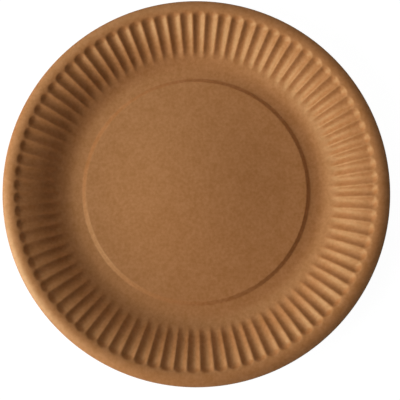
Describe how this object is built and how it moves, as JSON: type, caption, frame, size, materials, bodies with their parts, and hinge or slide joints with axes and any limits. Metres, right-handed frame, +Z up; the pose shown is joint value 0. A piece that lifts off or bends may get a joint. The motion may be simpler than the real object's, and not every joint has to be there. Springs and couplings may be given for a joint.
{
  "type": "paper plate",
  "caption": "Round pressed paper plate with a gently domed middle panel, a foot ring, a fluted sloping wall and a rolled-down rim.",
  "frame": {"origin": "middle of the plate's round outline, on the plane that its foot ring stands on", "axes": "+Z up out of the dish, +Y towards the top of the picture, where the rim band is narrowest"},
  "size_m": [0.23, 0.23, 0.0201],
  "materials": {
    "kraft_board": "uncoated brown kraft board, matt with a faint sheen"
  },
  "bodies": {
    "root": {"plate": "kraft_board"}
  },
  "joints": []
}
